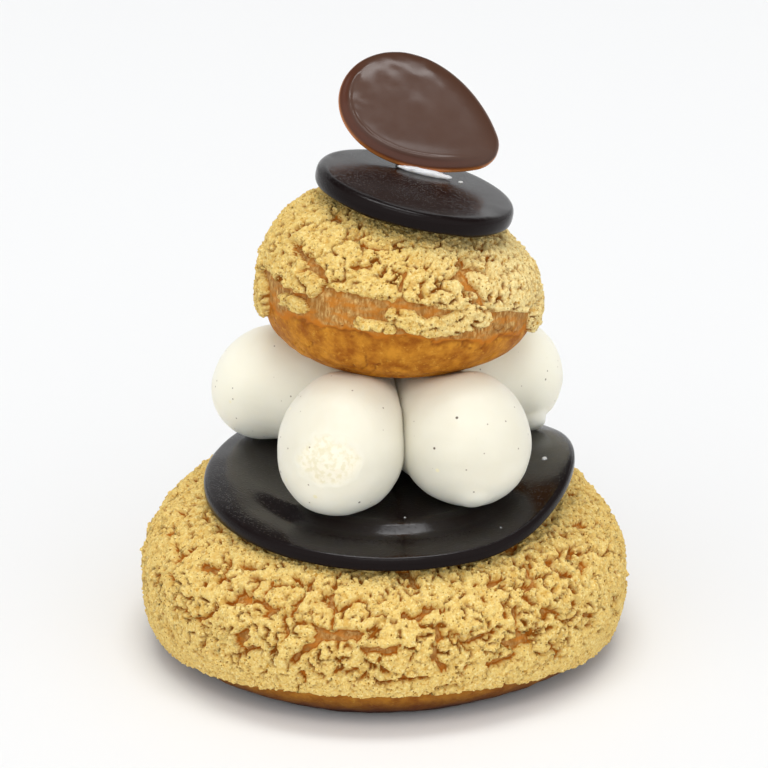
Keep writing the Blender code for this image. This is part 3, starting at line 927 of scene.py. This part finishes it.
# %% The cream's finish: ivory, flecked with vanilla, with painted light making it paler behind and at the foot and whitest in the dab
CURD, DARK_CURD = (0.86, 0.81, 0.67), (0.76, 0.70, 0.50)
IVORY, PALE_IVORY, REAR_PAINTED_LIGHT = (0.745, 0.71, 0.59), (0.775, 0.745, 0.63), (0.86, 0.83, 0.70)
FOOT_PAINTED_LIGHT, DAB_PAINTED_LIGHT = (0.98, 0.95, 0.82), (0.97, 0.96, 0.90)
YOLK, SEED, DARK_SEED = (0.86, 0.80, 0.55), (0.38, 0.32, 0.25), (0.12, 0.08, 0.05)
DAB_HEIGHT = 70 * MM

cream = Finish("vanilla_cream", 0.42)
curd = cream.mix(cream.ramp(cream.grain(0.8 * MM, 3), 0.45, 0.6), CURD, DARK_CURD)
plain = cream.mix(cream.ramp(cream.grain(6 * MM, 2), 0.3, 0.7), IVORY, PALE_IVORY)
# Painted light: the cream is coloured lighter towards the back, where the drops get less light.
plain = cream.mix(cream.ramp(cream.along("Y"), -6 * MM, 4 * MM), plain, REAR_PAINTED_LIGHT)
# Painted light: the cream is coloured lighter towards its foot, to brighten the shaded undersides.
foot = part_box("cream_front_left")[0].z
plain = cream.mix(cream.ramp(cream.along("Z"), foot, foot + 9 * MM), FOOT_PAINTED_LIGHT, plain)
# Painted light: cream up in the petal's shadow is coloured whiter to lift it.
plain = cream.mix(cream.ramp(cream.along("Z"), DAB_HEIGHT, DAB_HEIGHT + MM), plain, DAB_PAINTED_LIGHT)
plain = cream.mix(cream.ramp(cream.seen("torn"), 0, 1, 0, 0.8), plain, curd)
yolk = cream.mix(cream.dots(4.4 * MM, 0.40 * MM, 0.35), plain, YOLK)
seeds = cream.mix(cream.dots(1.5 * MM, 0.17 * MM, 0.40), yolk, SEED)
cream.colour(cream.mix(cream.dots(3.6 * MM, 0.26 * MM, 0.30), seeds, DARK_SEED))
cream.shader.inputs["Subsurface Weight"].default_value = 0.9
cream.shader.inputs["Subsurface Radius"].default_value = (1.0, 0.95, 0.85)
cream.shader.inputs["Subsurface Scale"].default_value = 2.5 * MM
cream.bump(cream.grain(0.9 * MM, 3), 0.03 * MM)
print("cream finish:", len(cream.tree.nodes), "nodes")

# %% The drops and the dab
drop("drop_front_left", "cream_front_left", 81, 0.30, torn_at=(-1.6, 0.6, 4.8, 3.6))
drop("drop_front_right", "cream_front_right", 83, 0.34, tip=(0.15, -0.75, -0.62, 0.45))
drop("drop_rear_right", "cream_rear_right", 85, 0.22, tip=(0.75, -0.2, -0.65, 1.6))
drop("drop_rear", "cream_rear", 87, 0.22)
drop("drop_rear_left", "cream_rear_left", 89, 0.22)
drop("dab", "cream_dab", 91, 0.4)

# %% [markdown]
# ## The chocolate discs
# The discs are cut from tempered chocolate, so they shine softly, and they have sagged onto the buns. A flat
# cylinder could be bent to do the same, but the measured discs already lie right. So they are copied, rounded
# and made a little uneven, as a cast sheet is.

# %% A disc, with sizes in mm
UNEVEN, UNEVEN_SIZE = 0.06, 6.0
LEDGE, LEDGE_WIDTH, LEDGE_FADE = 0.74, 0.12, (0.69, 0.79)
FRONT_FADE = (0.15, 0.7)


def disc(name, node, levels, seed, droop):
    """A disc of chocolate. Its front droops over a ledge a share of the way out, as it sags on its bun."""
    bm = refined(node, levels)

    def cast(points, normals):
        middle = 0.5 * (points.min(0) + points.max(0))
        half = 0.5 * (points.max(0) - points.min(0))
        out = np.hypot(*((points - middle) / half)[:, :2].T)
        front = smooth_step(-(points - middle)[:, 1] / half[1], *FRONT_FADE)
        points = points + normals * (UNEVEN * soft_noise(points, UNEVEN_SIZE, seed))[:, None]
        ledge = (1 - 2 * smooth_step(out, *LEDGE_FADE)) * np.exp(-(((out - LEDGE) / LEDGE_WIDTH) ** 2))
        points[:, 2] += droop * front * ledge
        return (points,)

    reshape(bm, cast)
    to_metres(bm)
    return object_from(name, bm, dark.material, node)


# %% The dark chocolate's finish: shinier on top than at its sides, and more so on the large disc
BITTER, DEEP_BITTER = (0.0060, 0.0022, 0.0020), (0.0040, 0.0016, 0.0015)
dark = Finish("dark_chocolate", 0.2)
dark.shader.inputs["Specular IOR Level"].default_value = 0.12
dark.shader.inputs["Coat Roughness"].default_value = 0.16
facing_out = dark.node("ShaderNodeNewGeometry").outputs["Normal"]
upward = dark.node("ShaderNodeSeparateXYZ", {0: facing_out}).outputs["Z"]
glossy = dark.ramp(dark.along("Z"), 40 * MM, 70 * MM, 0.55, 0.26)
dark.put(dark.shader.inputs["Coat Weight"], dark.times(dark.ramp(upward, 0.72, 0.88), glossy))
dark.colour(dark.mix(dark.grain(9 * MM, 3), BITTER, DEEP_BITTER))
dark.put(dark.shader.inputs["Roughness"], dark.ramp(dark.grain(3 * MM, 3), 0.3, 0.7, 0.16, 0.24))
dark.bump(dark.grain(0.22 * MM, 2), 0.008 * MM)
dark.bump(dark.dots(0.34 * MM, 0.15 * MM, 0.6), 0.012 * MM)
dark.put(dark.shader.inputs["Coat Normal"], dark.shader.inputs["Normal"].links[0].from_socket)
print("dark chocolate finish:", len(dark.tree.nodes), "nodes")

# %% Both discs
lower_disc = disc("lower_disc", "large_disc", levels=3, seed=93, droop=0.72)
upper_disc = disc("upper_disc", "small_disc", levels=2, seed=95, droop=0.0)

# %% [markdown]
# ## Stray cream
# A few white bits fell on the chocolate, and a sliver of cream is squeezed out under the petal. Each is a
# ball, flattened and knocked out of round, because they are too small to need more. It is dropped straight
# down onto the disc below, so that none floats.

# %% The bits and the sliver
BITS = ((24.2, -3.0, 0.42), (11.4, 8.0, 0.42), (3.0, -19.0, 0.16), (-10.0, -17.0, 0.14), (17.0, -20.0, 0.14))
BIT_SHAPE = (1, 0.85, 0.7)
SQUEEZED_AT, SQUEEZED_HALF, SQUEEZED_UP = (6.0, 8.0), (4.2, 0.7, 0.5), 0.35
ABOVE = 200
BIT_KNOCKED, BIT_KNOCK_SIZE, BIT_SEED = 0.12, 0.5, 87
chosen = random.Random(11)
bpy.context.view_layer.update()
bm = bmesh.new()


def fallen(plate, x, y):
    """Where a bit that falls at x and y meets a disc: whether it does, the place, and the way up there."""
    return plate.ray_cast(Vector((x, y, ABOVE)) * MM, Vector((0, 0, -1)))[:3]


for x, y, radius in BITS:
    places = [place for meets, place, _ in (fallen(lower_disc, x, y), fallen(upper_disc, x, y)) if meets]
    place = max(places, key=lambda co: co.z)
    stretch = Matrix.Diagonal([radius * MM * share for share in BIT_SHAPE] + [1])
    turn = Matrix.Rotation(chosen.uniform(0, math.tau), 4, "Z")
    lying = Matrix.Translation(place) @ turn @ stretch
    bmesh.ops.create_icosphere(bm, subdivisions=3, radius=1.0, matrix=lying)
_, place, up = fallen(upper_disc, *SQUEEZED_AT)
tilt = Vector((0, 0, 1)).rotation_difference(up).to_matrix().to_4x4()
stretch = Matrix.Diagonal([half * MM for half in SQUEEZED_HALF] + [1])
squeezed = Matrix.Translation(place + SQUEEZED_UP * MM * up) @ tilt @ stretch
bmesh.ops.create_icosphere(bm, subdivisions=4, radius=1.0, matrix=squeezed)


def knocked(points, normals):
    return (points + BIT_KNOCKED * MM * warp(points / MM, BIT_KNOCK_SIZE, BIT_SEED),)


reshape(bm, knocked)
object_from("cream_bits", bm, cream.material, None)

# %% [markdown]
# ## The petal
# The petal is milk chocolate, spread thin in a teardrop mould. It is paler than the discs, has a ridge inside
# its lower edge, and its thin rim lets a red-brown light through. It could be drawn anew, but the measured
# petal has the right lean. So that one is refined, and how far each point lies inside the teardrop places the
# ridge, the dish and the colours.

# %% The milk chocolate's finish
MILK, PALE_MILK = (0.060, 0.024, 0.013), (0.075, 0.032, 0.018)
BAND_PAINTED_GLOW, RIM_PAINTED_GLOW = (0.075, 0.020, 0.008), (0.58, 0.20, 0.05)
milk = Finish("milk_chocolate", 0.25)
milk.shader.inputs["Specular IOR Level"].default_value = 0.34
body = milk.mix(milk.grain(7 * MM, 3), MILK, PALE_MILK)
# Painted light: the band inside the lower edge is tinted red-brown and the thin rim orange, as a glow through
# thin chocolate.
banded = milk.mix(milk.seen("band"), body, BAND_PAINTED_GLOW)
milk.colour(milk.mix(milk.seen("edge"), banded, RIM_PAINTED_GLOW))
milk.put(milk.shader.inputs["Roughness"], milk.ramp(milk.grain(2 * MM, 3), 0.3, 0.7, 0.16, 0.26))
print("milk chocolate finish:", len(milk.tree.nodes), "nodes")

# %% The petal, with sizes in mm
PETAL_LENGTH, PETAL_WIDTH, PETAL_POINT = 26.7, 21.8, 0.55
DOWN_LEFT = np.array([0.6, 0.0, 0.8])
RIM, RIDGE_WIDTH, RIDGE_HEIGHT = 1.5, 0.34, 0.27
DISH_DEPTH, DISH_FROM_RIM = 0.25, 7.0
PETAL_GROWTH, TIP_ROUND, TIP_REACH = 0.18, 0.17, 2.4
LOWER_FADE, FACE_FADE, WAVES_FADE = (-2.0, 4.0), (0.3, 0.8), (3.0, -9.0)
BAND_FROM, RIM_TURN, RIM_FROM_EDGE = 1.0, (0.1, 0.8), (0.2, 0.55)
OUTLINE_POINTS = 181
NOISES.update({"mould_waves": (0.10, 2.4, 97), "mould_swells": (0.08, 7.0, 99)})
bm = refined("petal", 3)


def moulded(points, normals):
    """The petal in its own axes: along to the point, across, and out of its face."""
    middle = points.mean(0)
    axes = np.linalg.svd(points - middle, full_matrices=False)[2]
    axes *= np.sign([axes[0, 0], axes[1, 2], -axes[2, 1]])[:, None]
    along, across, _ = axes @ (points - middle).T
    around = np.linspace(0, math.tau, OUTLINE_POINTS)
    edge_along = 0.5 * PETAL_LENGTH * np.cos(around)
    edge_along += 0.5 * (along.max() + along.min())
    edge_across = 0.5 * PETAL_WIDTH * np.sin(around) * np.abs(np.sin(around / 2)) ** PETAL_POINT
    inward = np.hypot(along[:, None] - edge_along, across[:, None] - edge_across).min(1)
    lower = smooth_step(-(points - middle) @ DOWN_LEFT, *LOWER_FADE)
    face = smooth_step(normals @ axes[2], *FACE_FADE)
    ridge = np.exp(-(((inward - RIM) / RIDGE_WIDTH) ** 2)) * lower
    lift = RIDGE_HEIGHT * ridge - DISH_DEPTH * smooth_step(inward, RIM, DISH_FROM_RIM)
    lift += noise(points, "mould_waves") * smooth_step(along, *WAVES_FADE) + noise(points, "mould_swells")
    tip = np.maximum(along - along.max() + TIP_REACH, 0.0)
    points = points + PETAL_GROWTH * normals + (face * lift)[:, None] * axes[2]
    points = points - (TIP_ROUND * tip**2)[:, None] * axes[0]
    band = (1 - smooth_step(inward, BAND_FROM, RIM)) * lower
    edge = (1 - smooth_step(normals @ axes[2], *RIM_TURN)) * (1 - smooth_step(inward, *RIM_FROM_EDGE))
    return points, band, edge


reshape(bm, moulded, ("band", "edge"))
to_metres(bm)
object_from("petal_leaf", bm, milk.material, "petal")
